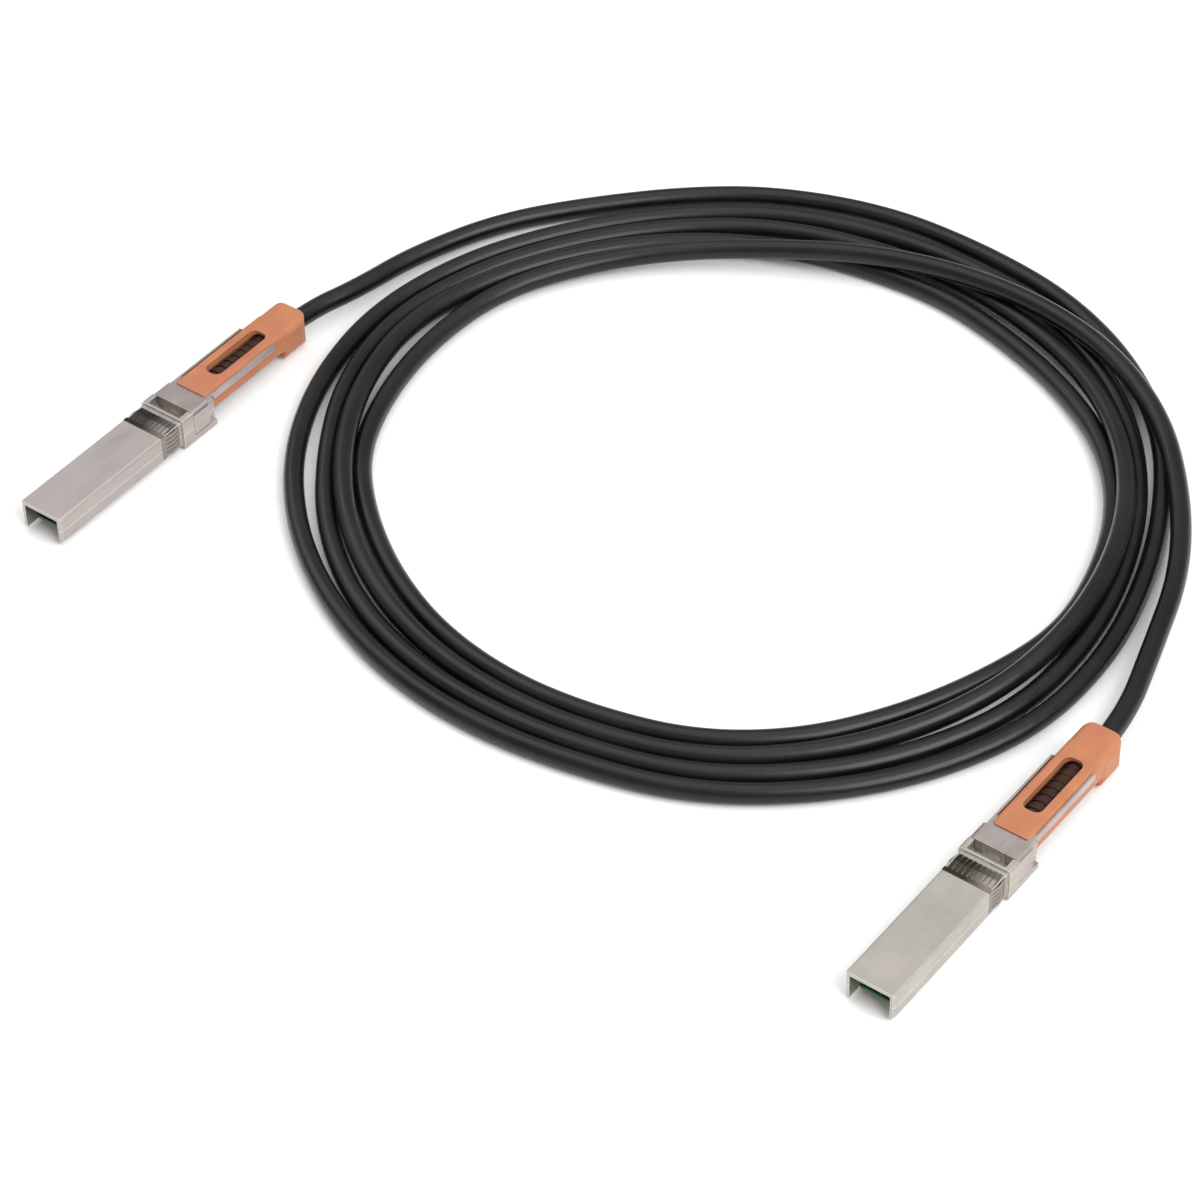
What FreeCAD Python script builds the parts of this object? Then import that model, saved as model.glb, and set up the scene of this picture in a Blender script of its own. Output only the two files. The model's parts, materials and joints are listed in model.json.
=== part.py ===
"""Direct attach copper cable: two small-form-factor pluggable plugs joined by
a round shielded cable that lies in a loose coil.

Units are millimetres. Frame: +Z up, both plugs lie along +Y with their tips
towards -Y and their pull tabs towards +Y. The origin is under the middle of
the pair of plugs, on the surface that everything lies on.

Every plug is modelled in its own local frame first: x across, y from the tip
towards the cable, z up from the surface, and is then moved to its place.
"""
import math
import os

import FreeCAD
import Part

V = FreeCAD.Vector
os.makedirs("parts", exist_ok=True)

# ---------------------------------------------------------------- places
PLUG_TIP = {"a": (-132.65, -45.9), "b": (132.65, -55.4)}   # x, y of each tip
COIL_CENTRE = (2.45, 74.4)

# ---------------------------------------------------------------- cable
CABLE_D = 5.5
CABLE_R = CABLE_D / 2.0
AXIS_Z = 5.0            # height of the cable's axis inside the plug
COIL_H = 12.0           # outer height of the coil where it passes over itself
BOOT_END = 91.0         # local y where the free cable starts

# Free stretch from plug a to the coil.
LEAD_A = [(-132.65, 45.1, 5.0), (-132.65, 60.1, 5.0), (-128.2, 77.0, 4.35),
          (-125.4, 98.0, 3.6), (-115.9, 124.0, 3.0), (-100.9, 144.1, 2.75),
          (-80.45, 165.2, 2.75), (-58.85, 180.6, 2.75)]
# Free stretch from plug b to the coil.
LEAD_B = [(132.65, 35.6, 5.0), (132.65, 54.1, 5.0), (125.0, 80.0, 5.45),
          (116.6, 107.2, 6.4), (102.6, 131.0, 7.55)]
# The coil's turns about COIL_CENTRE: radius and height of the cable's axis,
# every 15 degrees, clockwise seen from above, starting at 105 degrees.
COIL_START = 105
COIL_TURNS = [
    (119.8, 2.75), (116.6, 2.75), (116.2, 2.75), (114.7, 2.75), (112.8, 2.75), (110.0, 2.75), (109.8, 2.75), (112.6, 2.75),
    (115.9, 2.75), (116.0, 2.75), (115.1, 2.75), (114.1, 2.75), (110.9, 2.75), (110.8, 2.75), (111.7, 2.75), (112.7, 2.75),
    (114.7, 2.75), (117.1, 2.75), (118.9, 2.75), (120.2, 2.75), (118.4, 2.75), (115.3, 2.75), (113.9, 2.75), (113.2, 2.75),
    (111.0, 2.75), (109.8, 2.75), (108.8, 2.75), (107.0, 2.75), (105.0, 2.75), (103.7, 2.75), (103.7, 2.75), (106.0, 2.75),
    (109.0, 2.75), (109.1, 2.75), (108.7, 2.75), (108.2, 2.75), (105.4, 2.75), (105.1, 2.75), (106.0, 2.75), (106.8, 2.75),
    (107.2, 2.75), (108.1, 2.75), (112.0, 2.75), (114.6, 2.75), (112.5, 2.75), (109.8, 2.75), (108.1, 2.75), (106.9, 2.75),
    (104.0, 2.75), (102.1, 3.10), (100.1, 3.99), (100.3, 5.35), (100.6, 6.77), (101.0, 7.64), (101.3, 7.78), (102.2, 7.19),
    (103.2, 5.93), (103.1, 4.55), (102.8, 3.45), (102.3, 2.85), (99.9, 2.75), (99.4, 2.96), (100.1, 3.57), (100.9, 4.48),
    (102.0, 5.40), (103.7, 5.83), (106.3, 5.35), (108.9, 4.49), (107.0, 3.64), (104.3, 3.04), (101.9, 2.76), (98.9, 2.75),
    (95.7, 2.75), (94.5, 2.75), (92.7, 2.75), (93.9, 2.75), (96.8, 2.75), (98.1, 2.75), (98.1, 2.75), (99.2, 2.75),
    (96.2, 2.75), (95.5, 2.75), (96.5, 2.75), (96.4, 2.75), (94.2, 2.75), (93.9, 2.75), (94.0, 2.75), (94.4, 2.75),
    (96.1, 2.75), (99.5, 2.75), (99.8, 2.75), (100.8, 2.75), (101.8, 3.04), (98.3, 3.86), (94.7, 5.18), (92.4, 6.77),
    (94.5, 8.21), (98.4, 8.99), (103.7, 9.21), (108.8, 9.03), (112.2, 8.50),
]

# ---------------------------------------------------------------- housing
BODY_W, BODY_Z0, BODY_Z1 = 13.55, 0.5, 9.0
BODY_L = 47.5                        # tip to the collar's stop face
COLLAR_W, COLLAR_Z1, COLLAR_END = 14.6, 9.6, 51.7
NECK_W, NECK_Z1, NECK_END = 13.0, 8.8, 60.5
SILL_Z = 1.9
SEAM_Z = 4.75
ROOM_W, ROOM_Z0, ROOM_Z1, ROOM_END = 11.2, 1.7, 8.0, 46.8
MOUTH_FLOOR_OPEN = 10.4              # the floor is open from the tip to here
SLOT_Y0, SLOT_Y1, SLOT_W, SLOT_Z = 48.2, 51.9, 11.0, 6.4
# ---------------------------------------------------------------- card
CARD_W, CARD_T, CARD_Y0, CARD_Y1, CARD_Z0 = 9.2, 1.0, 2.2, 34.0, 2.75
CARD_Z1 = CARD_Z0 + CARD_T
PAD_PITCH, PAD_W, PAD_L, PAD_T = 0.8, 0.54, 3.0, 0.05
# ---------------------------------------------------------------- latch
PIN_Y, PIN_Z, PIN_R, PIN_L = 50.5, 1.5, 0.5, 6.4
EYE_BORE_R = 0.55
BOSS_Y0, BOSS_Y1, BOSS_W, BOSS_Z = 42.4, 45.0, 2.6, 0.05
# ---------------------------------------------------------------- yoke, tab
SHEET_T = 0.6
YOKE_Y0, YOKE_Y1 = 51.9, 57.8
YOKE_OUT = 7.25
TRAVEL = 2.5                         # how far the tab pulls back
RAIL_X0, RAIL_X1, RAIL_Z0, RAIL_Y1 = 5.55, 6.10, 7.5, 87.0
TAB_W, TAB_Z1 = 11.0, 9.95
TAB_END = 101.3
WINDOW_W, WINDOW_Y0, WINDOW_Y1 = 5.4, 67.0, 88.0
RING_BORE_R = 3.4


# ================================================================ helpers
def box(x0, x1, y0, y1, z0, z1):
    return Part.makeBox(x1 - x0, y1 - y0, z1 - z0, V(x0, y0, z0))


def cyl_y(r, y0, y1, x=0.0, z=AXIS_Z):
    return Part.makeCylinder(r, y1 - y0, V(x, y0, z), V(0, 1, 0))


def cyl_x(r, x0, x1, y, z):
    return Part.makeCylinder(r, x1 - x0, V(x0, y, z), V(1, 0, 0))


def cyl_z(r, z0, z1, x, y):
    return Part.makeCylinder(r, z1 - z0, V(x, y, z0), V(0, 0, 1))


def rounded_section(w, z0, z1, r_top, r_low, y0, y1, chamfer_low=False):
    """Prism along y whose section is a rectangle with rounded top corners and
    rounded or chamfered lower corners."""
    h = w / 2.0
    e = []
    k = math.sqrt(0.5)

    def seg(p, q):
        if (p - q).Length > 1e-6:
            e.append(Part.LineSegment(p, q).toShape())

    def arc(p, m, q):
        e.append(Part.Arc(p, m, q).toShape())

    a = V(-h, y0, z0 + r_low)
    b = V(-h, y0, z1 - r_top)
    c = V(-h + r_top, y0, z1)
    d = V(h - r_top, y0, z1)
    f = V(h, y0, z1 - r_top)
    g = V(h, y0, z0 + r_low)
    i = V(h - r_low, y0, z0)
    j = V(-h + r_low, y0, z0)
    seg(a, b)
    arc(b, V(-h + r_top * (1 - k), y0, z1 - r_top * (1 - k)), c)
    seg(c, d)
    arc(d, V(h - r_top * (1 - k), y0, z1 - r_top * (1 - k)), f)
    seg(f, g)
    if chamfer_low:
        seg(g, i)
    else:
        arc(g, V(h - r_low * (1 - k), y0, z0 + r_low * (1 - k)), i)
    seg(i, j)
    if chamfer_low:
        seg(j, a)
    else:
        arc(j, V(-h + r_low * (1 - k), y0, z0 + r_low * (1 - k)), a)
    face = Part.Face(Part.Wire(e))
    return face.extrude(V(0, y1 - y0, 0))


def prism_x(points, x0, x1):
    """Prism along x from a closed polygon of (y, z) points."""
    pts = [V(x0, y, z) for y, z in points]
    pts.append(pts[0])
    return Part.Face(Part.makePolygon(pts)).extrude(V(x1 - x0, 0, 0))


def prism_z(points, z0, z1):
    pts = [V(x, y, z0) for x, y in points]
    pts.append(pts[0])
    return Part.Face(Part.makePolygon(pts)).extrude(V(0, 0, z1 - z0))


def revolve_y(points):
    """Solid of revolution about the cable's axis from (y, r) points."""
    pts = [V(0, y, AXIS_Z + r) for y, r in points]
    pts.append(pts[0])
    return Part.Face(Part.makePolygon(pts)).revolve(V(0, 0, AXIS_Z), V(0, 1, 0), 360)


def rounded_plan(x0, x1, y0, y1, r0, r1, z0, z1):
    """Prism along z; corners at y0 have radius r0, corners at y1 radius r1."""
    k = math.sqrt(0.5)
    e = []

    def seg(p, q):
        if (p - q).Length > 1e-6:
            e.append(Part.LineSegment(p, q).toShape())

    P = lambda x, y: V(x, y, z0)
    seg(P(x0 + r0, y0), P(x1 - r0, y0))
    e.append(Part.Arc(P(x1 - r0, y0), P(x1 - r0 * (1 - k), y0 + r0 * (1 - k)), P(x1, y0 + r0)).toShape())
    seg(P(x1, y0 + r0), P(x1, y1 - r1))
    e.append(Part.Arc(P(x1, y1 - r1), P(x1 - r1 * (1 - k), y1 - r1 * (1 - k)), P(x1 - r1, y1)).toShape())
    seg(P(x1 - r1, y1), P(x0 + r1, y1))
    e.append(Part.Arc(P(x0 + r1, y1), P(x0 + r1 * (1 - k), y1 - r1 * (1 - k)), P(x0, y1 - r1)).toShape())
    seg(P(x0, y1 - r1), P(x0, y0 + r0))
    e.append(Part.Arc(P(x0, y0 + r0), P(x0 + r0 * (1 - k), y0 + r0 * (1 - k)), P(x0 + r0, y0)).toShape())
    return Part.Face(Part.Wire(e)).extrude(V(0, 0, z1 - z0))


def fuse(*shapes):
    s = shapes[0].multiFuse(list(shapes[1:])).removeSplitter()
    return s


def one(s):
    """The single solid of a boolean's result."""
    if s.ShapeType == "Solid":
        return s
    if len(s.Solids) == 1:
        return s.Solids[0]
    raise RuntimeError("expected one solid, got %d" % len(s.Solids))


# ================================================================ shells
def housing_outer():
    body = rounded_section(BODY_W, BODY_Z0, BODY_Z1, 0.6, 1.1, 0.0, BODY_L + 0.5, True)
    # lead-in chamfers round the tip
    nose = prism_x([(-1, BODY_Z1 - 0.5), (0.9, BODY_Z1 + 0.4), (-1, BODY_Z1 + 0.4)], -8, 8)
    side_r = prism_z([(BODY_W / 2 - 0.5, -0.2), (BODY_W / 2 + 0.4, 1.2), (BODY_W / 2 + 0.4, -0.2)], -1, 11)
    side_l = side_r.mirror(V(0, 0, 0), V(1, 0, 0))
    body = body.cut(nose).cut(side_r).cut(side_l)
    collar = rounded_section(COLLAR_W, 0.0, COLLAR_Z1, 0.8, 0.6, BODY_L, COLLAR_END)
    neck = rounded_section(NECK_W, 0.0, NECK_Z1, 0.7, 0.3, COLLAR_END - 0.2, NECK_END)
    sill = rounded_section(COLLAR_W, 0.0, SILL_Z, 0.2, 0.6, COLLAR_END - 0.2, NECK_END)
    return fuse(body, collar, neck, sill)


def shell_common_cuts():
    rw = ROOM_W / 2.0
    return [
        # seat of the ferrule and the cable, and the groove of the boot's flange
        cyl_y(2.65, 51.9, 56.5), cyl_y(2.8, 56.4, 57.8),
        cyl_y(3.55, 57.75, 59.25), cyl_y(3.15, 59.2, 61.0),
        # room that the cores cross below the slot
        box(-3.4, 3.4, ROOM_END - 0.5, 51.95, 3.6, 5.9),
    ]


def emi_recess():
    t = 0.2
    y0, y1 = 39.5, 46.6
    top = box(-8, 8, y0, y1, BODY_Z1 - t, BODY_Z1 + 1)
    right = box(BODY_W / 2 - t, BODY_W / 2 + 1, y0, y1, 1.3, BODY_Z1 + 1)
    left = box(-BODY_W / 2 - 1, -BODY_W / 2 + t, y0, y1, 1.3, BODY_Z1 + 1)
    return [top, right, left]


SCREW_X, SCREW_Y = 4.7, 44.2


def make_upper_shell():
    rw = ROOM_W / 2.0
    s = housing_outer().common(box(-9, 9, -1, 62, SEAM_Z, 12))
    s = s.cut(box(-rw, rw, -1, ROOM_END, SEAM_Z - 1, ROOM_Z1))
    for c in shell_common_cuts():
        s = s.cut(c)
    # the slot across the collar, and the two chambers of the return springs
    s = s.cut(box(-SLOT_W / 2, SLOT_W / 2, SLOT_Y0, SLOT_Y1, SLOT_Z, 12))
    for sx in (-1, 1):
        x0, x1 = sorted((sx * 3.1, sx * 5.5))
        s = s.cut(box(x0, x1, SLOT_Y1 - 0.1, 57.2, SLOT_Z, 12))
    for c in emi_recess():
        s = s.cut(c)
    # posts for the two screws
    for sx in (-1, 1):
        post = cyl_z(1.3, 3.6, ROOM_Z1 + 0.3, sx * SCREW_X, SCREW_Y)
        post = post.common(box(-rw + 0.05, rw - 0.05, 40, 48, 0, 12))
        s = s.fuse(post)
        s = s.cut(cyl_z(0.7, 3.0, 7.2, sx * SCREW_X, SCREW_Y))
    # side key that drops between the lower walls, beside the card room
    for sx in (-1, 1):
        x0, x1 = sorted((sx * (rw - 0.8), sx * rw))
        s = s.fuse(box(x0, x1, 12.0, 30.0, CARD_Z1, 6.0))
    return one(s.removeSplitter())


def make_lower_shell():
    rw = ROOM_W / 2.0
    s = housing_outer().common(box(-9, 9, -1, 62, -1, SEAM_Z))
    s = s.cut(box(-rw, rw, -1, ROOM_END, ROOM_Z0, SEAM_Z + 1))
    s = s.cut(box(-rw, rw, -1, MOUTH_FLOOR_OPEN, -1, SEAM_Z + 1))
    # raised floor that holds the latch pocket and the screws
    s = s.fuse(box(-rw, rw, 40.0, BODY_L + 0.5, BODY_Z0 + 0.6, 3.6))
    # ledges that carry the card
    for sx in (-1, 1):
        x0, x1 = sorted((sx * 3.9, sx * (rw + 0.2)))
        s = s.fuse(box(x0, x1, MOUTH_FLOOR_OPEN, 33.5, ROOM_Z0 - 0.2, CARD_Z0))
        # walls that locate the card sideways
        x0, x1 = sorted((sx * (CARD_W / 2), sx * (rw + 0.2)))
        s = s.fuse(box(x0, x1, MOUTH_FLOOR_OPEN, 33.5, CARD_Z0 - 0.1, CARD_Z1 - 0.05))
    for c in shell_common_cuts():
        s = s.cut(c)
    # latch pocket: a slot for the lever's arm, a wider one for its tail
    s = s.cut(box(-1.5, 1.5, 41.6, 52.4, -1, 3.0))
    s = s.cut(box(-4.95, 4.95, 52.3, 56.9, -1, 3.0))
    # windows through the neck's sides for the yoke's fingers
    s = s.cut(box(-8, 8, 52.2, 56.4, 1.95, 3.0))
    # pin bore
    s = s.cut(cyl_x(PIN_R, -PIN_L / 2, PIN_L / 2, PIN_Y, PIN_Z))
    for c in emi_recess():
        s = s.cut(c)
    for sx in (-1, 1):
        x = sx * SCREW_X
        s = s.cut(cyl_z(0.8, -1, 4.0, x, SCREW_Y))
        s = s.cut(Part.makeCone(1.35, 0.8, 0.9, V(x, SCREW_Y, BODY_Z0 - 0.02), V(0, 0, 1)))
    return one(s.removeSplitter())


# ================================================================ card
def make_card():
    s = box(-CARD_W / 2, CARD_W / 2, CARD_Y0, CARD_Y1, CARD_Z0, CARD_Z1)
    # bevelled entry edge and corner reliefs
    s = s.cut(prism_x([(CARD_Y0 - 0.1, CARD_Z1 - 0.3), (CARD_Y0 - 0.1, CARD_Z1 + 0.1), (CARD_Y0 + 0.45, CARD_Z1 + 0.1)], -6, 6))
    s = s.cut(prism_x([(CARD_Y0 - 0.1, CARD_Z0 + 0.3), (CARD_Y0 - 0.1, CARD_Z0 - 0.1), (CARD_Y0 + 0.45, CARD_Z0 - 0.1)], -6, 6))
    for sx in (-1, 1):
        x0 = sx * CARD_W / 2
        s = s.cut(prism_z([(x0, CARD_Y0 - 0.1), (x0 - sx * 0.6, CARD_Y0 - 0.1), (x0, CARD_Y0 + 0.8)], 0, 6))
    return one(s)


def make_contacts():
    out = []
    for i in range(10):
        x = (i - 4.5) * PAD_PITCH
        y0 = CARD_Y0 + (0.5 if i in (0, 3, 6, 9) else 0.9)
        out.append(box(x - PAD_W / 2, x + PAD_W / 2, y0, CARD_Y0 + 0.9 + PAD_L, CARD_Z1, CARD_Z1 + PAD_T))
        out.append(box(x - PAD_W / 2, x + PAD_W / 2, y0, CARD_Y0 + 0.9 + PAD_L, CARD_Z0 - PAD_T, CARD_Z0))
    for x in CORE_X:
        out.append(box(x - 0.35, x + 0.35, 27.0, 29.2, CARD_Z1, CARD_Z1 + PAD_T))
    return Part.makeCompound(out)


def make_memory_chip():
    s = box(-1.5, 1.5, 18.5, 21.5, CARD_Z1 + 0.1, CARD_Z1 + 0.95)
    for i in range(4):
        y = 18.5 + 0.525 + i * 0.65
        for sx in (-1, 1):
            xa, xb = sorted((sx * 1.4, sx * 1.95))
            foot = box(xa, xb, y - 0.15, y + 0.15, CARD_Z1 + 0.35, CARD_Z1 + 0.5)
            xa, xb = sorted((sx * 1.8, sx * 1.95))
            leg = box(xa, xb, y - 0.15, y + 0.15, CARD_Z1, CARD_Z1 + 0.5)
            xa, xb = sorted((sx * 1.8, sx * 2.45))
            toe = box(xa, xb, y - 0.15, y + 0.15, CARD_Z1, CARD_Z1 + 0.15)
            s = s.fuse(foot).fuse(leg).fuse(toe)
    return one(s.removeSplitter())


def make_capacitors():
    out = []
    for x in CORE_X:
        out.append(box(x - 0.25, x + 0.25, 11.4, 12.4, CARD_Z1, CARD_Z1 + 0.35))
    out.append(box(2.9, 3.4, 16.0, 17.0, CARD_Z1, CARD_Z1 + 0.35))
    out.append(box(-3.4, -2.9, 23.0, 24.0, CARD_Z1, CARD_Z1 + 0.35))
    return Part.makeCompound(out)


# ================================================================ cable end
CORE_X = (-1.6, -0.52, 0.52, 1.6)
CORE_R, CORE_Z = 0.48, 4.6


def make_cores():
    return Part.makeCompound([cyl_y(CORE_R, 30.6, 51.9, x, CORE_Z) for x in CORE_X])


def make_conductors():
    out = []
    r = 0.2
    zc = CARD_Z1 + PAD_T + r
    for x in CORE_X:
        a, b = V(x, 30.6, CORE_Z), V(x, 29.0, zc)
        slant = Part.makeCylinder(r, (b - a).Length, a, b - a)
        flat = cyl_y(r, 27.2, 29.0, x, zc)
        ball = Part.makeSphere(r, b)
        s = one(slant.fuse(flat).fuse(ball).removeSplitter())
        # trimmed flush with the core's end face and the pad
        s = one(s.cut(box(x - 1, x + 1, 30.6, 32, 0, 9)))
        out.append(s)
    return Part.makeCompound(out)


def make_overmould():
    s = box(-3.6, 3.6, 32.0, 39.6, CARD_Z1, 6.2)
    s = s.fuse(box(-3.6, 3.6, CARD_Y1, 39.6, 1.9, 6.2))
    for x in CORE_X:
        s = s.cut(cyl_y(CORE_R, 30.0, 42.0, x, CORE_Z))
    return one(s.removeSplitter())


def make_braid():
    return cyl_y(2.2, 51.9, 56.5)


def make_ferrule():
    s = cyl_y(2.65, 52.0, 56.4).cut(cyl_y(2.2, 51.0, 57.0))
    # crimp flats' waist
    ring = cyl_y(2.8, 53.6, 54.8).cut(cyl_y(2.45, 53.0, 55.4))
    return one(s.cut(ring))


def make_jacket_end():
    return cyl_y(CABLE_R, 56.5, BOOT_END)


def make_boot():
    # flange in the shells' groove, neck through the rear wall, ribbed taper
    pts = [(57.8, CABLE_R), (57.8, 3.5), (59.2, 3.5), (59.2, 3.1), (60.8, 3.1), (60.8, 3.6), (66.0, 3.55)]
    y = 66.0
    r = 3.55
    step = 2.8
    while y + step < BOOT_END - 1.0:
        pts += [(y, r), (y, 3.02), (y + 0.9, 3.02), (y + 0.9, r - 0.01)]
        y += step
        r -= 0.045
        pts += [(y, r)]
    pts += [(BOOT_END - 0.4, r - 0.05), (BOOT_END, r - 0.35), (BOOT_END, CABLE_R)]
    clean = []
    for p in pts:
        if not clean or abs(p[0] - clean[-1][0]) + abs(p[1] - clean[-1][1]) > 1e-6:
            clean.append(p)
    return one(revolve_y(clean))


# ================================================================ latch
def make_lever():
    arm = prism_x([(BOSS_Y0, 0.6), (BOSS_Y0 + 1.8, BOSS_Z), (BOSS_Y1, BOSS_Z), (BOSS_Y1, 0.6),
                   (56.2, 0.95), (56.2, 1.5), (52.4, 1.6), (BOSS_Y0 + 0.2, 1.6), (BOSS_Y0, 1.4)], -BOSS_W / 2, BOSS_W / 2)
    eye = cyl_x(1.0, -BOSS_W / 2, BOSS_W / 2, PIN_Y, PIN_Z)
    tail = [(52.6, 0.95), (56.5, 0.95), (56.5, 2.52), (56.0, 2.52), (54.75, 2.2), (53.5, 2.0), (52.6, 2.0)]
    ear_r = prism_x(tail, 3.3, 4.7)
    ear_l = prism_x(tail, -4.7, -3.3)
    bar = prism_x([(52.6, 0.95), (56.5, 0.95), (56.5, 1.55), (52.6, 1.55)], -4.7, 4.7)
    s = fuse(arm, eye, ear_r, ear_l, bar)
    s = s.cut(cyl_x(EYE_BORE_R, -3, 3, PIN_Y, PIN_Z))
    return one(s)


def make_pin():
    return cyl_x(PIN_R, -PIN_L / 2, PIN_L / 2, PIN_Y, PIN_Z)


def make_latch_spring():
    t = 0.2
    low = [(49.2, 2.78), (47.4, 2.72), (44.6, 1.68), (43.8, 1.62), (43.2, 1.78)]
    up = [(y, z + t) for y, z in reversed(low)]
    return one(prism_x(low + up, -0.9, 0.9))


# ================================================================ yoke, tab
def make_yoke():
    out = rounded_section(2 * YOKE_OUT, 2.12, NECK_Z1 + 0.15 + SHEET_T, 1.2, 0.2, YOKE_Y0, YOKE_Y1)
    inn = rounded_section(2 * (YOKE_OUT - SHEET_T), 1.0, NECK_Z1 + 0.15, 0.6, 0.2, YOKE_Y0 - 1, YOKE_Y1 + 1)
    s = out.cut(inn)
    parts = []
    for sx in (-1, 1):
        # finger that works the lever's tail
        x0, x1 = sorted((sx * 3.45, sx * (YOKE_OUT - 0.05)))
        parts.append(box(x0, x1, 52.5, 53.5, 2.12, 2.12 + SHEET_T))
        # lip that the return spring pushes on
        x0, x1 = sorted((sx * 3.25, sx * 5.35))
        parts.append(box(x0, x1, YOKE_Y0, YOKE_Y0 + SHEET_T, 6.6, NECK_Z1 + 0.4))
        # rail along the pull tab
        x0, x1 = sorted((sx * RAIL_X0, sx * RAIL_X1))
        rail = prism_x([(61.0, 9.55), (61.0, 8.3), (61.8, RAIL_Z0), (RAIL_Y1 - 0.8, RAIL_Z0), (RAIL_Y1, RAIL_Z0 + 0.7),
                        (RAIL_Y1, 8.8), (RAIL_Y1 - 0.75, 9.55)], x0, x1)
        parts.append(rail)
    tongue = box(-RAIL_X1, RAIL_X1, YOKE_Y1 - 0.2, 61.5, NECK_Z1 + 0.15, NECK_Z1 + 0.15 + SHEET_T)
    parts.append(tongue)
    s = fuse(s, *parts)
    return one(s)


def make_tab():
    w = TAB_W / 2.0
    plan = rounded_plan(-w, w, 58.6, 94.0, 1.6, 0.5, 0.0, 12.0)
    head = rounded_plan(-w - 0.35, w + 0.35, 91.0, TAB_END, 1.5, 3.6, 0.0, 12.0)
    sect_arm = rounded_section(TAB_W, 3.6, TAB_Z1, 1.3, 0.8, 58.0, 93.0)
    sect_head = rounded_section(TAB_W + 0.7, 0.7, TAB_Z1, 2.4, 2.4, 90.9, TAB_END + 0.1)
    body = plan.common(sect_arm)
    head = head.common(sect_head)
    s = body.fuse(head)
    # thin front lip over the yoke's tongue, then the saddle over the boot
    s = s.cut(box(-8, 8, 50.0, 61.5, 0.0, NECK_Z1 + 0.15 + SHEET_T))
    s = s.cut(cyl_y(3.95, 50.0, 91.9))
    s = s.cut(cyl_y(RING_BORE_R, 90.0, TAB_END + 1))
    # flat-bottomed gap between the arms below the window
    s = s.cut(box(-3.95, 3.95, 50.0, 91.9, 0.0, AXIS_Z))
    # the window
    s = s.cut(rounded_plan(-WINDOW_W / 2, WINDOW_W / 2, WINDOW_Y0, WINDOW_Y1, 2.0, 2.0, 5.0, 12.0))
    return one(s.removeSplitter())


def coil_spring(x, z, y0, y1, r_mean, r_wire, turns):
    pitch = (y1 - y0 - 2 * r_wire) / turns
    helix = Part.makeHelix(pitch, pitch * turns, r_mean)
    wire = Part.Wire(helix.Edges)
    prof = Part.Wire(Part.makeCircle(r_wire, V(r_mean, 0, 0), V(0, 1, 0)))
    s = wire.makePipeShell([prof], True, True)
    s = Part.Solid(s) if s.ShapeType != "Solid" else s
    s.rotate(V(0, 0, 0), V(1, 0, 0), -90)
    s.translate(V(x, y0 + r_wire, z))
    return s


def make_yoke_springs():
    return Part.makeCompound([coil_spring(sx * 4.3, 7.72, YOKE_Y0 + SHEET_T + 0.02, 57.18, 0.85, 0.14, 6.0) for sx in (-1, 1)])


# ================================================================ small parts
def make_emi_spring():
    t = 0.15
    z = BODY_Z1 - 0.2
    h = BODY_W / 2 - 0.2
    y0, y1, y2, y3 = 39.7, 41.0, 43.7, 46.3
    s = fuse(box(-h - t, h + t, y0, y1, z, z + t),
             box(h, h + t, y0, y1, 1.6, z + t), box(-h - t, -h, y0, y1, 1.6, z + t))
    fingers = []
    for i in range(9):
        x = (i - 4) * 1.36
        fingers.append(prism_x([(y1 - 0.1, z), (y1 + 0.2, z), (y2, z + 0.32), (y3, z + 0.02), (y3, z + 0.02 + t),
                                (y2, z + 0.32 + t), (y1 + 0.2, z + t), (y1 - 0.1, z + t)], x - 0.56, x + 0.56))
    for sx in (-1, 1):
        for i in range(5):
            zc = 2.5 + i * 1.36
            pts = [(h, y1 - 0.1), (h, y1 + 0.2), (h + 0.32, y2), (h + 0.02, y3), (h + 0.02 + t, y3),
                   (h + 0.32 + t, y2), (h + t, y1 + 0.2), (h + t, y1 - 0.1)]
            fingers.append(prism_z([(sx * a, b) for a, b in pts], zc - 0.56, zc + 0.56))
    return one(fuse(s, *fingers))


def make_screws():
    out = []
    for sx in (-1, 1):
        x = sx * SCREW_X
        s = Part.makeCone(1.3, 0.7, 0.86, V(x, SCREW_Y, BODY_Z0 + 0.02), V(0, 0, 1))
        s = s.fuse(cyl_z(0.7, BODY_Z0 + 0.86, 7.0, x, SCREW_Y))
        for a, b in ((0.85, 0.16), (0.16, 0.85)):
            s = s.cut(box(x - a, x + a, SCREW_Y - b, SCREW_Y + b, BODY_Z0 - 0.1, BODY_Z0 + 0.42))
        out.append(one(s.removeSplitter()))
    return Part.makeCompound(out)


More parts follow.
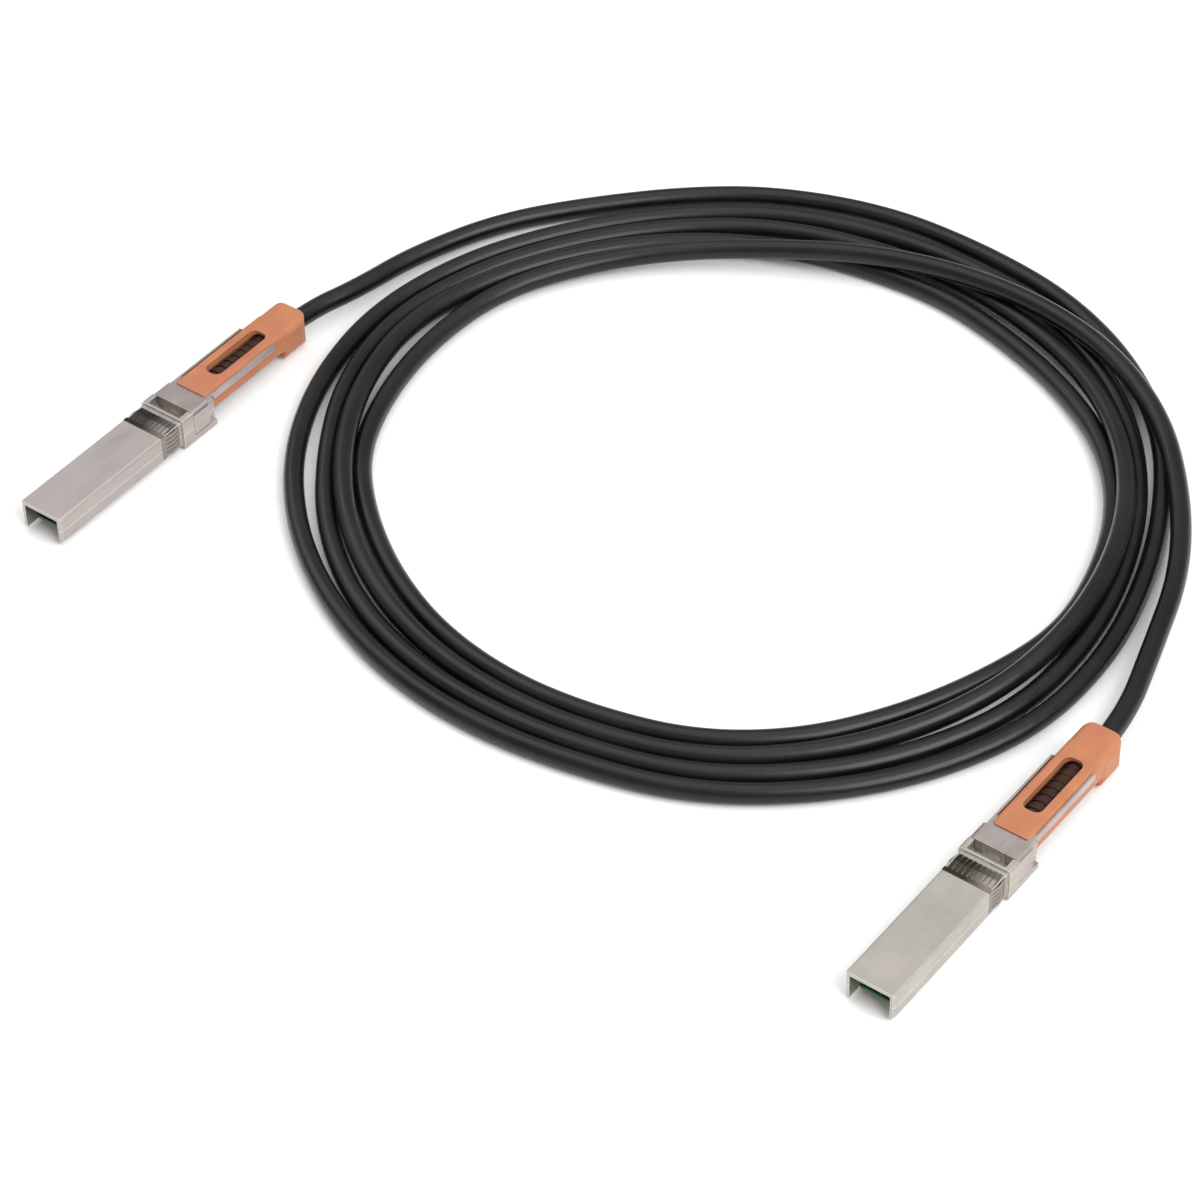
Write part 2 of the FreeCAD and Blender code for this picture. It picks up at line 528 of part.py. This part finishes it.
# ================================================================ cable
def tube(points, r, name):
    """Round tube along straight runs joined by tangent arcs."""
    p = [V(*q) for q in points]
    n = len(p)
    runs = [(p[i + 1] - p[i]).Length for i in range(n - 1)]
    edges = []
    start = p[0]
    radii = []
    for i in range(1, n - 1):
        a = (p[i - 1] - p[i]).normalize()
        b = (p[i + 1] - p[i]).normalize()
        turn = math.pi - a.getAngle(b)
        back = 0.45 * min(runs[i - 1], runs[i])
        radius = back / math.tan(turn / 2.0)
        radii.append(radius)
        t0 = p[i] + a * back
        t1 = p[i] + b * back
        bis = (a + b).normalize()
        depth = radius / math.cos(turn / 2.0) - radius
        mid = p[i] + bis * depth
        edges.append(Part.LineSegment(start, t0).toShape())
        edges.append(Part.Arc(t0, mid, t1).toShape())
        start = t1
    edges.append(Part.LineSegment(start, p[-1]).toShape())
    path = Part.Wire(edges)
    prof = Part.Wire(Part.makeCircle(r, p[0], p[1] - p[0]))
    s = path.makePipeShell([prof], True, False)
    if s.ShapeType != "Solid":
        s = Part.Solid(s)
    want = math.pi * r * r * path.Length
    print("%s: length %.1f mm, runs %s, radii %s, volume %.1f of %.1f, valid %s" % (
        name, path.Length, [round(x, 1) for x in runs], [round(x) for x in radii], s.Volume, want, s.isValid()))
    return s


def coil_outline():
    """Least and greatest radius of the turns at every 15 degrees."""
    low, high = {}, {}
    n = len(COIL_TURNS)
    for i, (r, z) in enumerate(COIL_TURNS):
        az = (COIL_START - 15 * i) % 360
        low[az] = min(low.get(az, 1e9), r)
        high[az] = max(high.get(az, 0.0), r)
    for q in (LEAD_A[-1], LEAD_B[-1]):
        dx, dy = q[0] - COIL_CENTRE[0], q[1] - COIL_CENTRE[1]
        az = int(round(math.degrees(math.atan2(dy, dx)) / 15.0)) * 15 % 360
        high[az] = max(high[az], math.hypot(dx, dy))
    azs = sorted(low)
    return azs, [low[a] - CABLE_R for a in azs], [high[a] + CABLE_R for a in azs]


def ring_wire(azs, radii, z):
    pts = [V(COIL_CENTRE[0] + r * math.cos(math.radians(a)), COIL_CENTRE[1] + r * math.sin(math.radians(a)), z)
           for a, r in zip(azs, radii)]
    n = len(pts)
    e = []
    for i in range(0, n, 2):
        e.append(Part.Arc(pts[i], pts[(i + 1) % n], pts[(i + 2) % n]).toShape())
    return Part.Wire(e)


def make_coil():
    azs, lo, hi = coil_outline()
    outer = Part.Face(ring_wire(azs, hi, 0.0)).extrude(V(0, 0, COIL_H))
    inner = Part.Face(ring_wire(azs, lo, -1.0)).extrude(V(0, 0, COIL_H + 2))
    s = one(outer.cut(inner))
    print("coil: inner %.1f to %.1f, outer %.1f to %.1f" % (min(lo), max(lo), min(hi), max(hi)))
    return s


# ================================================================ build
MAKERS = {
    "upper_shell": make_upper_shell, "lower_shell": make_lower_shell, "paddle_card": make_card,
    "card_contacts": make_contacts, "memory_chip": make_memory_chip, "chip_capacitors": make_capacitors,
    "wire_cores": make_cores, "core_conductors": make_conductors, "core_overmould": make_overmould,
    "shield_braid": make_braid, "shield_ferrule": make_ferrule, "jacket_end": make_jacket_end,
    "cable_boot": make_boot, "release_yoke": make_yoke, "pull_tab": make_tab, "yoke_springs": make_yoke_springs,
    "latch_lever": make_lever, "latch_pin": make_pin, "latch_spring": make_latch_spring,
    "emi_spring": make_emi_spring, "shell_screws": make_screws,
}


def main():
    for base, make in MAKERS.items():
        local = make()
        for side, (x, y) in PLUG_TIP.items():
            s = local.copy()
            s.translate(V(x, y, 0))
            bad = [i for i in s.Solids if not i.isValid()]
            if bad or not s.isValid():
                print("NOT VALID", base, side)
            s.exportStep("parts/%s_%s.step" % (base, side))
        print("%-16s solids %d volume %.2f" % (base, len(local.Solids), local.Volume))
    tube(LEAD_A, CABLE_R, "cable_lead_a").exportStep("parts/cable_lead_a.step")
    tube(LEAD_B, CABLE_R, "cable_lead_b").exportStep("parts/cable_lead_b.step")
    make_coil().exportStep("parts/cable_coil.step")


main()
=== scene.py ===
"""Looks of the direct attach copper cable: the coiled cable itself, small
details on both plugs, and procedural materials for every piece."""
import json
import math

import bpy
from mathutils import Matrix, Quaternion, Vector


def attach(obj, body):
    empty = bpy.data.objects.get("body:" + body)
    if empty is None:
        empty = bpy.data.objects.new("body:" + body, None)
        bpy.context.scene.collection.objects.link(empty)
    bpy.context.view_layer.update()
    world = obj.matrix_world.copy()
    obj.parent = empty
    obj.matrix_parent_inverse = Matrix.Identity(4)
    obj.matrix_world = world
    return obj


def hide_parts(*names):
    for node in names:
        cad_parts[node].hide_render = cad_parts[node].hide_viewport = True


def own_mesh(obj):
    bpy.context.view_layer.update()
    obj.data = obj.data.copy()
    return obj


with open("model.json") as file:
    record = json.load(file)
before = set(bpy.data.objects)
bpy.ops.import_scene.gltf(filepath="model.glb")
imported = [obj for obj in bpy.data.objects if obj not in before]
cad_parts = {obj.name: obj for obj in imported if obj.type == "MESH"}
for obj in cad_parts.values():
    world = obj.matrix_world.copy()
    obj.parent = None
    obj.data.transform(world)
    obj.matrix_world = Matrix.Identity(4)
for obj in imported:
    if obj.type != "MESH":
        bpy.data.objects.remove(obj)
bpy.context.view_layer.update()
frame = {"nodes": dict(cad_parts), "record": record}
MM = 0.001
SIDES = ("a", "b")
ROOT = "plugs_and_cable"
PLUG_X = 0.13265         # each plug's distance from the middle

bpy.context.scene.view_settings.view_transform = "Standard"

# ------------------------------------------------------------------ camera
AIM = Vector((-0.00076, 0.01906, 0.0))
EYE = Vector((0.47712, -0.59041, 0.71829))
ROLL = -0.02806          # radians
cam_data = bpy.data.cameras.new("camera")
cam_data.lens = 124.59
cam_data.sensor_width = 36.0
cam_data.clip_start = 0.05
cam_data.clip_end = 20.0
cam = bpy.data.objects.new("camera", cam_data)
cam.location = EYE
facing = (AIM - EYE).to_track_quat("-Z", "Y") @ Quaternion((0, 0, 1), ROLL)
cam.rotation_euler = facing.to_euler()
bpy.context.scene.collection.objects.link(cam)
bpy.context.scene.camera = cam

# ------------------------------------------------------------------ route
# The cable's route, in millimetres, as the CAD model has it.
CABLE_D = 5.5
COIL_CENTRE = (2.45, 74.4)
LEAD_A = [(-132.65, 45.1, 5.0), (-132.65, 60.1, 5.0), (-128.2, 77.0, 4.35),
          (-125.4, 98.0, 3.6), (-115.9, 124.0, 3.0), (-100.9, 144.1, 2.75),
          (-80.45, 165.2, 2.75), (-58.85, 180.6, 2.75)]
LEAD_B = [(132.65, 35.6, 5.0), (132.65, 54.1, 5.0), (125.0, 80.0, 5.45),
          (116.6, 107.2, 6.4), (102.6, 131.0, 7.55)]
COIL_START = 105
COIL_TURNS = [
    (119.8, 2.75), (116.6, 2.75), (116.2, 2.75), (114.7, 2.75), (112.8, 2.75), (110.0, 2.75), (109.8, 2.75), (112.6, 2.75),
    (115.9, 2.75), (116.0, 2.75), (115.1, 2.75), (114.1, 2.75), (110.9, 2.75), (110.8, 2.75), (111.7, 2.75), (112.7, 2.75),
    (114.7, 2.75), (117.1, 2.75), (118.9, 2.75), (120.2, 2.75), (118.4, 2.75), (115.3, 2.75), (113.9, 2.75), (113.2, 2.75),
    (111.0, 2.75), (109.8, 2.75), (108.8, 2.75), (107.0, 2.75), (105.0, 2.75), (103.7, 2.75), (103.7, 2.75), (106.0, 2.75),
    (109.0, 2.75), (109.1, 2.75), (108.7, 2.75), (108.2, 2.75), (105.4, 2.75), (105.1, 2.75), (106.0, 2.75), (106.8, 2.75),
    (107.2, 2.75), (108.1, 2.75), (112.0, 2.75), (114.6, 2.75), (112.5, 2.75), (109.8, 2.75), (108.1, 2.75), (106.9, 2.75),
    (104.0, 2.75), (102.1, 3.10), (100.1, 3.99), (100.3, 5.35), (100.6, 6.77), (101.0, 7.64), (101.3, 7.78), (102.2, 7.19),
    (103.2, 5.93), (103.1, 4.55), (102.8, 3.45), (102.3, 2.85), (99.9, 2.75), (99.4, 2.96), (100.1, 3.57), (100.9, 4.48),
    (102.0, 5.40), (103.7, 5.83), (106.3, 5.35), (108.9, 4.49), (107.0, 3.64), (104.3, 3.04), (101.9, 2.76), (98.9, 2.75),
    (95.7, 2.75), (94.5, 2.75), (92.7, 2.75), (93.9, 2.75), (96.8, 2.75), (98.1, 2.75), (98.1, 2.75), (99.2, 2.75),
    (96.2, 2.75), (95.5, 2.75), (96.5, 2.75), (96.4, 2.75), (94.2, 2.75), (93.9, 2.75), (94.0, 2.75), (94.4, 2.75),
    (96.1, 2.75), (99.5, 2.75), (99.8, 2.75), (100.8, 2.75), (101.8, 3.04), (98.3, 3.86), (94.7, 5.18), (92.4, 6.77),
    (94.5, 8.21), (98.4, 8.99), (103.7, 9.21), (108.8, 9.03), (112.2, 8.50),
]
# A smooth curve passes a little inside its points, so the turns' points
# stand this much further out than the cable runs.
STAND_OUT = 1.0086


def route():
    points = list(LEAD_A)
    for i, (r, z) in enumerate(COIL_TURNS):
        a = math.radians(COIL_START - 15 * i)
        points.append((COIL_CENTRE[0] + STAND_OUT * r * math.cos(a),
                       COIL_CENTRE[1] + STAND_OUT * r * math.sin(a), z))
    points += LEAD_B[::-1]
    return points


def make_cable():
    data = bpy.data.curves.new("cable", "CURVE")
    data.dimensions = "3D"
    data.resolution_u = 10
    # the points' radius times this depth is the cable's radius, so that the
    # curve's box, which grows by that radius, is the cable's own
    data.bevel_depth = 1.0
    data.bevel_resolution = 8
    data.use_fill_caps = True
    pts = route()
    spline = data.splines.new("NURBS")
    spline.points.add(len(pts) - 1)
    for p, (x, y, z) in zip(spline.points, pts):
        p.co = (x * MM, y * MM, z * MM, 1.0)
        p.radius = CABLE_D / 2 * MM
    spline.order_u = 3
    spline.use_endpoint_u = True
    spline.resolution_u = 10
    obj = bpy.data.objects.new("cable", data)
    bpy.context.scene.collection.objects.link(obj)
    return obj


cable = make_cable()
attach(cable, ROOT)
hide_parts("cable_lead_a", "cable_coil", "cable_lead_b")


# --------------------------------------------------------------- materials
class Mat:
    """A principled material whose colour, roughness and bump come from
    procedural textures in object space, so they follow the piece."""

    def __init__(self, name, color, rough=0.5, metallic=0.0, **sockets):
        self.m = bpy.data.materials.new(name)
        self.m.use_nodes = True
        self.m.diffuse_color = (*color, 1.0)
        self.t = self.m.node_tree
        self.n = self.t.nodes
        self.l = self.t.links
        self.b = self.n["Principled BSDF"]
        self.b.inputs["Base Color"].default_value = (*color, 1.0)
        self.b.inputs["Roughness"].default_value = rough
        self.b.inputs["Metallic"].default_value = metallic
        for k, v in sockets.items():
            self.b.inputs[k.replace("_", " ")].default_value = v
        self.tc = self.n.new("ShaderNodeTexCoord")
        self.color = color
        self.rough = rough
        self.heights = []

    def coords(self, scale=(1, 1, 1), rot=(0, 0, 0)):
        mp = self.n.new("ShaderNodeMapping")
        mp.inputs["Scale"].default_value = scale
        mp.inputs["Rotation"].default_value = rot
        self.l.new(self.tc.outputs["Object"], mp.inputs["Vector"])
        return mp.outputs["Vector"]

    def noise(self, scale, detail=4.0, rough=0.55, stretch=(1, 1, 1), rot=(0, 0, 0), distortion=0.0):
        t = self.n.new("ShaderNodeTexNoise")
        t.inputs["Scale"].default_value = scale
        t.inputs["Detail"].default_value = detail
        t.inputs["Roughness"].default_value = rough
        t.inputs["Distortion"].default_value = distortion
        self.l.new(self.coords(stretch, rot), t.inputs["Vector"])
        return t.outputs["Fac"]

    def voronoi(self, scale, feature="F1", stretch=(1, 1, 1)):
        t = self.n.new("ShaderNodeTexVoronoi")
        t.feature = feature
        t.inputs["Scale"].default_value = scale
        self.l.new(self.coords(stretch), t.inputs["Vector"])
        return t.outputs["Distance"]

    def wave(self, scale, axis="Y", distortion=0.0, detail=0.0, stretch=(1, 1, 1)):
        t = self.n.new("ShaderNodeTexWave")
        t.wave_type = "BANDS"
        t.bands_direction = axis
        t.inputs["Scale"].default_value = scale
        t.inputs["Distortion"].default_value = distortion
        t.inputs["Detail"].default_value = detail
        self.l.new(self.coords(stretch), t.inputs["Vector"])
        return t.outputs["Fac"]

    def ramp(self, fac, lo, hi, a=0.0, b=1.0):
        """fac from lo..hi becomes a..b."""
        r = self.n.new("ShaderNodeMapRange")
        r.inputs["From Min"].default_value = lo
        r.inputs["From Max"].default_value = hi
        r.inputs["To Min"].default_value = a
        r.inputs["To Max"].default_value = b
        self.l.new(fac, r.inputs["Value"])
        return r.outputs["Result"]

    def mix(self, fac, c1, c2):
        mx = self.n.new("ShaderNodeMix")
        mx.data_type = "RGBA"
        self.l.new(fac, mx.inputs["Factor"])
        for sock, c in ((6, c1), (7, c2)):
            if isinstance(c, tuple):
                mx.inputs[sock].default_value = (*c, 1.0)
            else:
                self.l.new(c, mx.inputs[sock])
        return mx.outputs[2]

    def edges(self, radius, lo=0.004, hi=0.09):
        """0 on flat faces, 1 where an edge within radius turns the surface."""
        bv = self.n.new("ShaderNodeBevel")
        bv.samples = 6
        bv.inputs["Radius"].default_value = radius
        geo = self.n.new("ShaderNodeNewGeometry")
        dot = self.n.new("ShaderNodeVectorMath")
        dot.operation = "DOT_PRODUCT"
        self.l.new(bv.outputs["Normal"], dot.inputs[0])
        self.l.new(geo.outputs["Normal"], dot.inputs[1])
        return self.ramp(dot.outputs["Value"], 1.0 - lo, 1.0 - hi)

    def times(self, a, b):
        mt = self.n.new("ShaderNodeMath")
        mt.operation = "MULTIPLY"
        self.l.new(a, mt.inputs[0])
        self.l.new(b, mt.inputs[1])
        return mt.outputs["Value"]

    def across(self, lo, hi):
        """0..1 across a plug from local x lo to hi, the same on both plugs."""
        sep = self.n.new("ShaderNodeSeparateXYZ")
        self.l.new(self.tc.outputs["Object"], sep.inputs["Vector"])
        wr = self.n.new("ShaderNodeMath")
        wr.operation = "WRAP"
        wr.inputs[1].default_value = PLUG_X * 2
        wr.inputs[2].default_value = 0.0
        self.l.new(sep.outputs["X"], wr.inputs[0])
        return self.ramp(wr.outputs["Value"], PLUG_X + lo, PLUG_X + hi)

    def set_color(self, out):
        self.l.new(out, self.b.inputs["Base Color"])

    def set_rough(self, out):
        self.l.new(out, self.b.inputs["Roughness"])

    def height(self, fac, amount):
        """Adds a height in metres to the bump."""
        self.heights.append((fac, amount))

    def done(self, edge=0.0):
        """edge is the radius in metres that sharp edges are softened by."""
        normal = None
        if edge:
            bv = self.n.new("ShaderNodeBevel")
            bv.samples = 4
            bv.inputs["Radius"].default_value = edge
            normal = bv.outputs["Normal"]
        for fac, amount in self.heights:
            bp = self.n.new("ShaderNodeBump")
            bp.inputs["Strength"].default_value = 1.0
            bp.inputs["Distance"].default_value = amount
            self.l.new(fac, bp.inputs["Height"])
            if normal is not None:
                self.l.new(normal, bp.inputs["Normal"])
            normal = bp.outputs["Normal"]
        if normal is not None:
            self.l.new(normal, self.b.inputs["Normal"])
        return self.m


def shade(c, k):
    return tuple(max(0.0, min(1.0, x * k)) for x in c)


def mat_jacket():
    base = (0.0034, 0.0031, 0.0041)
    m = Mat("cable_jacket", base, 0.33, Specular_IOR_Level=0.33)
    grain = m.noise(2600, 3, 0.6)
    cloud = m.noise(45, 3, 0.5)
    lumps = m.noise(210, 2, 0.5)
    scuff = m.noise(900, 5, 0.7, distortion=0.6)
    c = m.mix(m.ramp(cloud, 0.35, 0.7), base, (0.0075, 0.0068, 0.0090))
    m.set_color(m.mix(m.ramp(scuff, 0.62, 0.78, 0.0, 0.5), c, (0.020, 0.019, 0.022)))
    m.set_rough(m.ramp(cloud, 0.3, 0.7, 0.24, 0.36))
    m.height(lumps, 0.00007)
    m.height(grain, 0.00002)
    return m.done()


def mat_boot():
    base = (0.030, 0.0125, 0.0068)
    m = Mat("boot_black", base, 0.6, Specular_IOR_Level=0.25)
    grain = m.noise(3500, 3, 0.6)
    cloud = m.noise(120, 3, 0.5)
    c = m.mix(m.ramp(cloud, 0.35, 0.7), base, shade(base, 1.5))
    m.set_color(m.mix(m.edges(0.00025), c, shade(base, 2.4)))
    m.set_rough(m.ramp(cloud, 0.3, 0.7, 0.50, 0.68))
    m.height(grain, 0.000025)
    return m.done(0.00012)


def mat_tab():
    base = (0.415, 0.154, 0.069)
    m = Mat("tab_orange", base, 0.46, Specular_IOR_Level=0.4, Subsurface_Weight=0.08, Subsurface_Scale=0.002)
    m.b.inputs["Subsurface Radius"].default_value = (1.0, 0.4, 0.2)
    cloud = m.noise(160, 3, 0.5)
    tone = m.noise(55, 2, 0.5)
    spark = m.noise(4200, 2, 0.7)
    c = m.mix(m.ramp(cloud, 0.3, 0.72), shade(base, 0.92), (0.455, 0.176, 0.081))
    c = m.mix(m.ramp(tone, 0.42, 0.62, 0.0, 0.5), c, (0.40, 0.128, 0.074))
    m.set_color(m.mix(m.times(m.edges(0.0004), m.ramp(cloud, 0.25, 0.7, 0.35, 0.9)), c, (0.58, 0.275, 0.155)))
    m.set_rough(m.ramp(cloud, 0.3, 0.7, 0.40, 0.54))
    m.height(spark, 0.00003)
    return m.done(0.0002)


def mat_shell():
    base = (0.47, 0.445, 0.41)
    m = Mat("shell_metal", base, 0.4, 1.0)
    cloud = m.noise(90, 4, 0.55)
    stain = m.noise(38, 3, 0.6)
    fine = m.noise(2400, 3, 0.6)
    flow = m.noise(300, 4, 0.6, stretch=(1, 0.25, 1))
    rub = m.noise(1100, 4, 0.65)
    c = m.mix(m.ramp(cloud, 0.3, 0.72), (0.40, 0.40, 0.362), (0.515, 0.475, 0.42))
    c = m.mix(m.ramp(stain, 0.45, 0.66, 0.0, 0.55), c, (0.445, 0.395, 0.375))
    # the left plug's plating is a little redder than the right one's
    sep = m.n.new("ShaderNodeSeparateXYZ")
    m.l.new(m.tc.outputs["Object"], sep.inputs["Vector"])
    c = m.mix(m.ramp(sep.outputs["X"], -0.12, 0.12, 0.55, 0.0), c, (0.445, 0.392, 0.388))
    worn = m.times(m.edges(0.00045), m.ramp(rub, 0.3, 0.62, 0.35, 1.0))
    m.set_color(m.mix(worn, c, (0.74, 0.72, 0.68)))
    m.set_rough(m.ramp(flow, 0.3, 0.7, 0.36, 0.54))
    m.height(fine, 0.000012)
    m.height(flow, 0.00003)
    return m.done(0.00022)


def metal(name, base, rough, grain_dir=(1, 1, 1), grain=0.00001, edge=0.00012, spread=0.1, worn=1.35, side=None):
    """side is a darker or lighter colour painted over the left of each plug, as painted shade and painted dark
    reflection.
    """
    m = Mat(name, base, rough, 1.0)
    cloud = m.noise(140, 3, 0.5)
    lines = m.noise(1800, 3, 0.6, stretch=grain_dir)
    c = m.mix(m.ramp(cloud, 0.3, 0.72), shade(base, 0.88), shade(base, 1.08))
    if side:
        # painted shade and painted dark reflection: the side colour is laid over the left of each plug
        c = m.mix(m.across(-0.001, 0.005), side, c)
    if edge:
        c = m.mix(m.times(m.edges(edge * 2.2), m.ramp(lines, 0.3, 0.65, 0.3, 1.0)), c, shade(base, worn))
    m.set_color(c)
    m.set_rough(m.ramp(lines, 0.3, 0.7, rough - spread / 2, rough + spread))
    m.height(lines, grain)
    return m.done(edge)


def plastic(name, base, rough, grain=0.00001, scale=3000, edge=0.0001, **kw):
    m = Mat(name, base, rough, 0.0, **kw)
    cloud = m.noise(260, 3, 0.5)
    fine = m.noise(scale, 3, 0.6)
    m.set_color(m.mix(m.ramp(cloud, 0.3, 0.72), shade(base, 0.85), shade(base, 1.15)))
    m.set_rough(m.ramp(cloud, 0.3, 0.7, rough - 0.06, rough + 0.08))
    m.height(fine, grain)
    return m.done(edge)


MATERIALS = {
    "cable_jacket": mat_jacket(),
    "boot_black": mat_boot(),
    "tab_orange": mat_tab(),
    "shell_metal": mat_shell(),
    "sheet_steel": metal("sheet_steel", (0.455, 0.400, 0.382), 0.32, (1, 0.06, 1)),
    "latch_metal": metal("latch_metal", (0.46, 0.445, 0.43), 0.34),
    # the dark colour on the left of each plug's EMI plate is painted shade and painted reflection of dark surroundings
    "emi_plate": metal("emi_plate", (0.27, 0.235, 0.215), 0.32, (1, 0.08, 1), edge=0.00005, side=(0.045, 0.037, 0.030)),
    "spring_wire": metal("spring_wire", (0.56, 0.56, 0.56), 0.25, edge=0.0),
    "screw_steel": metal("screw_steel", (0.20, 0.20, 0.205), 0.35, edge=0.00005),
    "braid_wire": metal("braid_wire", (0.66, 0.66, 0.66), 0.35, edge=0.0),
    "ferrule_metal": metal("ferrule_metal", (0.68, 0.50, 0.24), 0.3, edge=0.0001),
    "gold_contact": metal("gold_contact", (0.83, 0.58, 0.20), 0.24, (1, 0.1, 1), grain=0.000003, edge=0.0),
    "plated_copper": metal("plated_copper", (0.72, 0.70, 0.66), 0.2, edge=0.0),
    "card_laminate": plastic("card_laminate", (0.012, 0.085, 0.040), 0.32, edge=0.00003, Coat_Weight=0.4),
    "chip_black": plastic("chip_black", (0.018, 0.018, 0.019), 0.5, edge=0.00004),
    "capacitor_tan": plastic("capacitor_tan", (0.38, 0.25, 0.14), 0.4, edge=0.00003),
    "core_insulation": plastic("core_insulation", (0.70, 0.70, 0.67), 0.35, edge=0.0),
    "hot_melt": plastic("hot_melt", (0.05, 0.05, 0.052), 0.45, edge=0.0003),
}

cable.data.materials.append(MATERIALS["cable_jacket"])
slot_of = {s["node"]: s["material_slot"] for s in frame["record"]["subparts"]}
for node, obj in frame["nodes"].items():
    if obj.type != "MESH":
        continue
    mat = MATERIALS[slot_of[node]]
    if not obj.material_slots:
        continue
    for s in obj.material_slots:
        s.material = mat

# ------------------------------------------------------- return springs
# The yoke presses each pair of return springs shorter as it slides back; here
# the same springs stand as a copy with its own mesh, attached to the plugs and cable.
for side in SIDES:
    node = "yoke_springs_" + side
    springs = bpy.data.objects.new("return_springs_" + side, frame["nodes"][node].data.copy())
    bpy.context.scene.collection.objects.link(springs)
    springs.matrix_world = frame["nodes"][node].matrix_world.copy()
    for s in springs.material_slots:
        s.material = MATERIALS["spring_wire"]
    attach(springs, ROOT)
    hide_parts(node)
    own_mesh(springs)

# ------------------------------------------------------------------- stage
bpy.ops.mesh.primitive_plane_add(size=6.0, location=(0, 0, -0.0002))
floor = bpy.context.object
floor.name = "floor"
fm = Mat("floor_paper", (0.9, 0.9, 0.9), 0.9)
fm.set_color(fm.mix(fm.ramp(fm.noise(3, 2, 0.5), 0.3, 0.7), (0.90, 0.90, 0.90), (0.92, 0.92, 0.92)))
floor.data.materials.append(fm.done())


def area(name, loc, size, power, target=(0, 0.05, 0), color=(1, 1, 1)):
    d = bpy.data.lights.new(name, "AREA")
    d.shape = "RECTANGLE"
    d.size, d.size_y = size
    d.energy = power
    d.color = color
    o = bpy.data.objects.new(name, d)
    o.location = loc
    o.rotation_euler = (Vector(target) - Vector(loc)).to_track_quat("-Z", "Y").to_euler()
    bpy.context.scene.collection.objects.link(o)
    return o


area("key_light", (1.3, -0.1, 1.2), (1.4, 1.2), 29)
area("fill_light", (-1.2, 0.1, 1.2), (1.2, 1.2), 6)
area("top_light", (0.0, 0.2, 1.9), (2.2, 2.2), 19)

world = bpy.data.worlds.new("studio")
bpy.context.scene.world = world
world.use_nodes = True
world.node_tree.nodes["Background"].inputs["Color"].default_value = (1, 1, 1, 1)
world.node_tree.nodes["Background"].inputs["Strength"].default_value = 0.50

bpy.context.view_layer.update()
